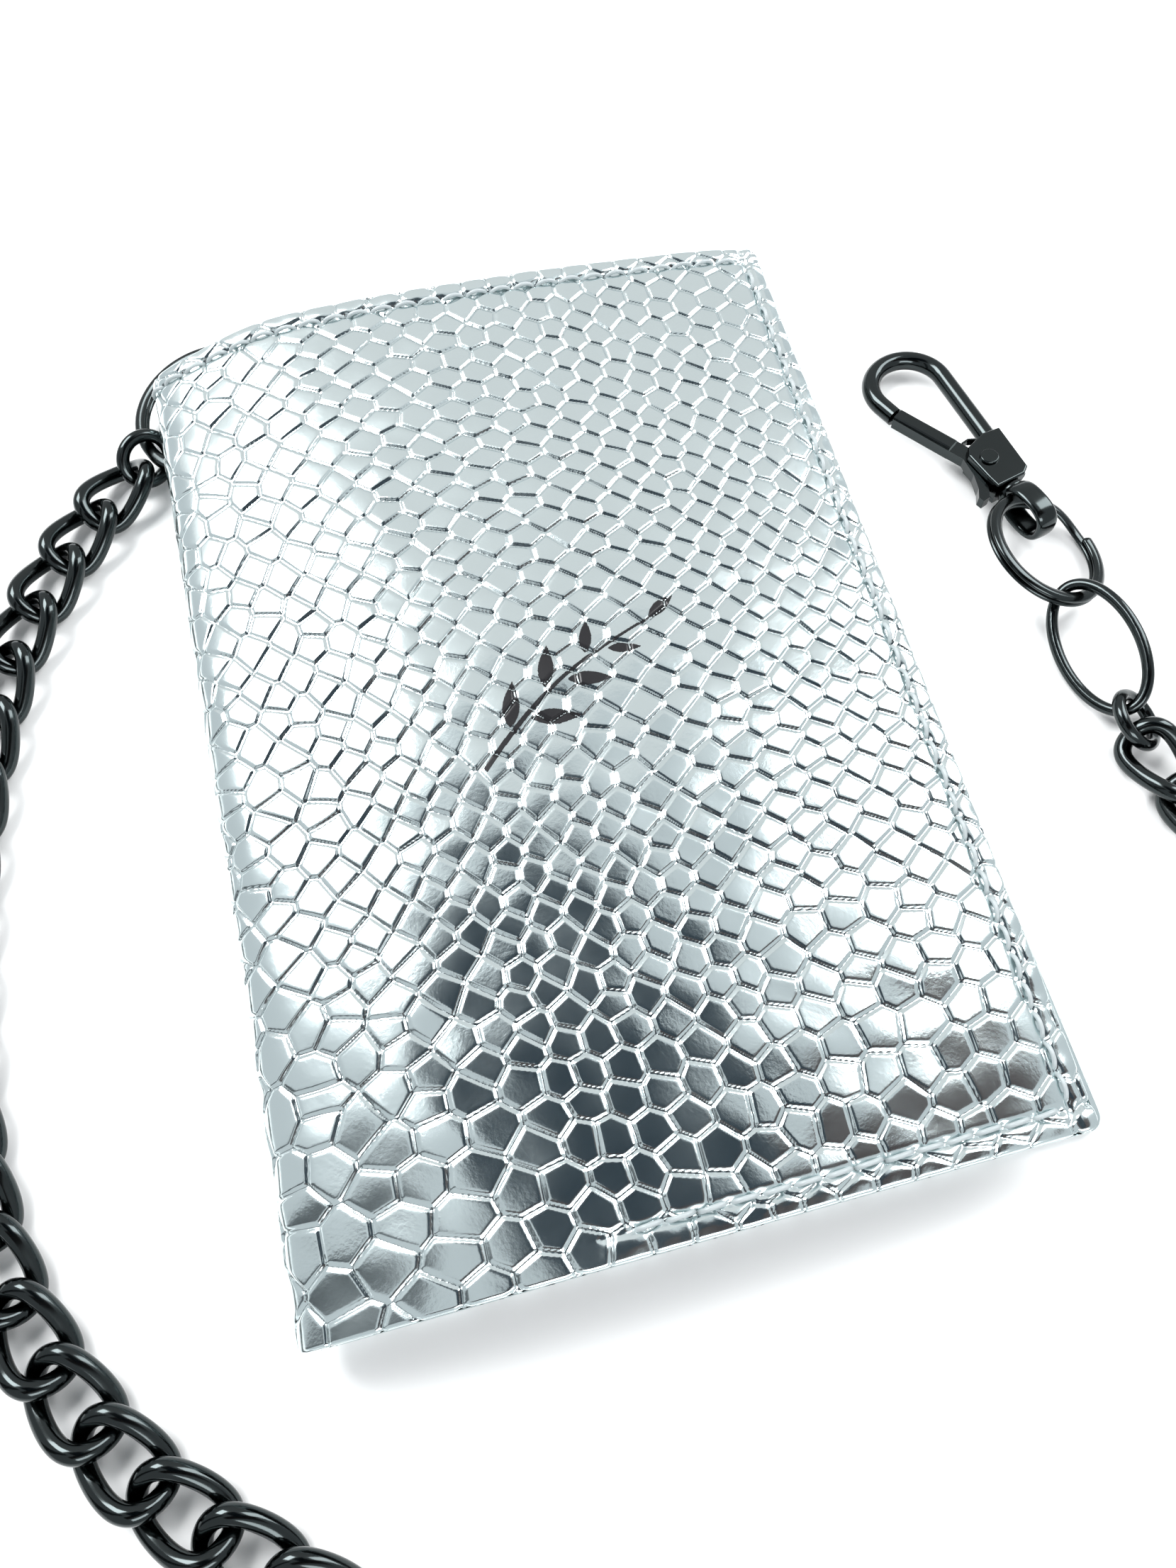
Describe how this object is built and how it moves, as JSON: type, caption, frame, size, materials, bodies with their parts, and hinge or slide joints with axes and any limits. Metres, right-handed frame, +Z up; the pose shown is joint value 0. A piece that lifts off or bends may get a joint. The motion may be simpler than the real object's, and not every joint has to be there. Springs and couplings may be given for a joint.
{
  "type": "chain wallet",
  "caption": "Folding wallet with embossed metallic covers and card pockets, and a curb chain from a split ring at its spine to a swivel snap hook.",
  "frame": {"origin": "centre of the back cover's flat resting face", "axes": "+X from the spine to the free edge, +Y along the spine towards the split ring, +Z up through the closed wallet"},
  "size_m": [0.1431, 0.1713, 0.0119],
  "materials": {
    "metallic_skin": "satin metallic, embossed",
    "board": "matte",
    "lining": "matte",
    "thread": "matte",
    "foil": "gloss",
    "hardware": "polished gunmetal"
  },
  "bodies": {
    "wallet_back": {"back_skin": "metallic_skin", "back_board": "board", "back_lining": "lining", "back_pocket_upper": "lining", "back_pocket_middle": "lining", "back_pocket_lower": "lining", "back_stitching": "thread", "spine_skin": "metallic_skin", "spine_lining": "lining", "spine_eyelet": "hardware"},
    "wallet_front": {"front_skin": "metallic_skin", "front_board": "board", "front_lining": "lining", "front_pocket_upper": "lining", "front_pocket_middle": "lining", "front_pocket_lower": "lining", "front_stitching": "thread", "front_emblem": "foil"},
    "anchor_ring": {"anchor_ring": "hardware"},
    "connector": {"connector_link": "hardware"},
    "chain_01": {"chain_segment_01": "hardware"},
    "chain_02": {"chain_segment_02": "hardware"},
    "chain_03": {"chain_segment_03": "hardware"},
    "chain_04": {"chain_segment_04": "hardware"},
    "chain_05": {"chain_segment_05": "hardware"},
    "chain_06": {"chain_segment_06": "hardware"},
    "chain_07": {"chain_segment_07": "hardware"},
    "chain_08": {"chain_segment_08": "hardware"},
    "chain_09": {"chain_segment_09": "hardware"},
    "chain_10": {"chain_segment_10": "hardware"},
    "chain_11": {"chain_segment_11": "hardware"},
    "chain_12": {"chain_segment_12": "hardware"},
    "chain_13": {"chain_segment_13": "hardware"},
    "chain_14": {"chain_segment_14": "hardware"},
    "chain_15": {"chain_segment_15": "hardware"},
    "end_link": {"round_link": "hardware"},
    "oval": {"oval_link": "hardware"},
    "key_ring": {"key_ring": "hardware"},
    "swivel_eye": {"swivel_eye": "hardware"},
    "hook": {"hook_body": "hardware", "gate_rivet": "hardware", "gate_spring": "hardware"},
    "gate": {"hook_gate": "hardware"}
  },
  "joints": [
    {"name": "fold", "type": "hinge", "parent": "wallet_back", "child": "wallet_front", "pos_m": [-0.0405, 0, 0.0053], "axis": [0, -1, 0], "range_deg": [0, 150], "deforming": ["spine_skin", "spine_lining"]},
    {"name": "ring_turn", "type": "hinge", "parent": "wallet_back", "child": "anchor_ring", "pos_m": [-0.0337, 0.0517, 0.00395], "axis": [0, 0, 1], "range_deg": [-5, 0.5]},
    {"name": "connector_bend", "type": "hinge", "parent": "anchor_ring", "child": "connector", "pos_m": [-0.04206, 0.04798, 0.00285], "axis": [0, 0, 1], "range_deg": [-4.5, 2.5]},
    {"name": "chain_01_bend", "type": "hinge", "parent": "connector", "child": "chain_01", "pos_m": [-0.0444, 0.04592, 0.00217], "axis": [0, 0, -1], "range_deg": [-6, 5.4]},
    {"name": "chain_02_bend", "type": "hinge", "parent": "chain_01", "child": "chain_02", "pos_m": [-0.05797, 0.02954, 0.00217], "axis": [0, 0, 1], "range_deg": [-13.5, 7.6]},
    {"name": "chain_03_bend", "type": "hinge", "parent": "chain_02", "child": "chain_03", "pos_m": [-0.06578, 0.00978, 0.00217], "axis": [0, 0, -1], "range_deg": [-7.6, 18]},
    {"name": "chain_04_bend", "type": "hinge", "parent": "chain_03", "child": "chain_04", "pos_m": [-0.06941, -0.01125, 0.00217], "axis": [0, 0, 1], "range_deg": [-18, 5.1]},
    {"name": "chain_05_bend", "type": "hinge", "parent": "chain_04", "child": "chain_05", "pos_m": [-0.06921, -0.03258, 0.00217], "axis": [0, 0, -1], "range_deg": [-3.4, 18]},
    {"name": "chain_06_bend", "type": "hinge", "parent": "chain_05", "child": "chain_06", "pos_m": [-0.06305, -0.0529, 0.00217], "axis": [0, 0, 1], "range_deg": [-18, 2.5]},
    {"name": "chain_07_bend", "type": "hinge", "parent": "chain_06", "child": "chain_07", "pos_m": [-0.05, -0.06965, 0.00217], "axis": [0, 0, -1], "range_deg": [-2.5, 18]},
    {"name": "chain_08_bend", "type": "hinge", "parent": "chain_07", "child": "chain_08", "pos_m": [-0.03404, -0.08384, 0.00217], "axis": [0, 0, 1], "range_deg": [-18, 1.7]},
    {"name": "chain_09_bend", "type": "hinge", "parent": "chain_08", "child": "chain_09", "pos_m": [-0.01677, -0.09636, 0.00217], "axis": [0, 0, -1], "range_deg": [-1.7, 18]},
    {"name": "chain_10_bend", "type": "hinge", "parent": "chain_09", "child": "chain_10", "pos_m": [0.00297, -0.10431, 0.00217], "axis": [0, 0, 1], "range_deg": [-18, 1.7]},
    {"name": "chain_11_bend", "type": "hinge", "parent": "chain_10", "child": "chain_11", "pos_m": [0.02419, -0.10526, 0.00217], "axis": [0, 0, -1], "range_deg": [-1.7, 18]},
    {"name": "chain_12_bend", "type": "hinge", "parent": "chain_11", "child": "chain_12", "pos_m": [0.04393, -0.09753, 0.00217], "axis": [0, 0, 1], "range_deg": [-18, 1.7]},
    {"name": "chain_13_bend", "type": "hinge", "parent": "chain_12", "child": "chain_13", "pos_m": [0.05818, -0.08182, 0.00217], "axis": [0, 0, -1], "range_deg": [-2.5, 18]},
    {"name": "chain_14_bend", "type": "hinge", "parent": "chain_13", "child": "chain_14", "pos_m": [0.06523, -0.06183, 0.00217], "axis": [0, 0, 1], "range_deg": [-18, 2.5]},
    {"name": "chain_15_bend", "type": "hinge", "parent": "chain_14", "child": "chain_15", "pos_m": [0.0647, -0.04052, 0.00217], "axis": [0, 0, -1], "range_deg": [-3.4, 18]},
    {"name": "end_link_bend", "type": "hinge", "parent": "chain_15", "child": "end_link", "pos_m": [0.06082, -0.01959, 0.00217], "axis": [0, 0, 1], "range_deg": [-18, 5.1]},
    {"name": "oval_bend", "type": "hinge", "parent": "end_link", "child": "oval", "pos_m": [0.06068, -0.01599, 0.0024], "axis": [0, 0, -1], "range_deg": [-5.1, 18]},
    {"name": "key_ring_bend", "type": "hinge", "parent": "oval", "child": "key_ring", "pos_m": [0.06009, -0.00139, 0.003], "axis": [0, 0, 1], "range_deg": [-18, 7.6]},
    {"name": "eye_lift", "type": "hinge", "parent": "key_ring", "child": "swivel_eye", "pos_m": [0.05949, 0.01319, 0.00357], "axis": [0.9667, 0.2559, 0], "range_deg": [0, 19]},
    {"name": "hook_swivel", "type": "hinge", "parent": "swivel_eye", "child": "hook", "pos_m": [0.05881, 0.01579, 0.00339], "axis": [-0.2554, 0.9647, -0.0645], "continuous": true},
    {"name": "gate_open", "type": "hinge", "parent": "hook", "child": "gate", "pos_m": [0.05767, 0.01931, 0.00315], "axis": [0.0165, -0.0624, -0.9979], "range_deg": [0, 20], "stiffness_Nm_per_rad": 0.01, "springref_deg": -17.19, "deforming": ["gate_spring"]}
  ]
}
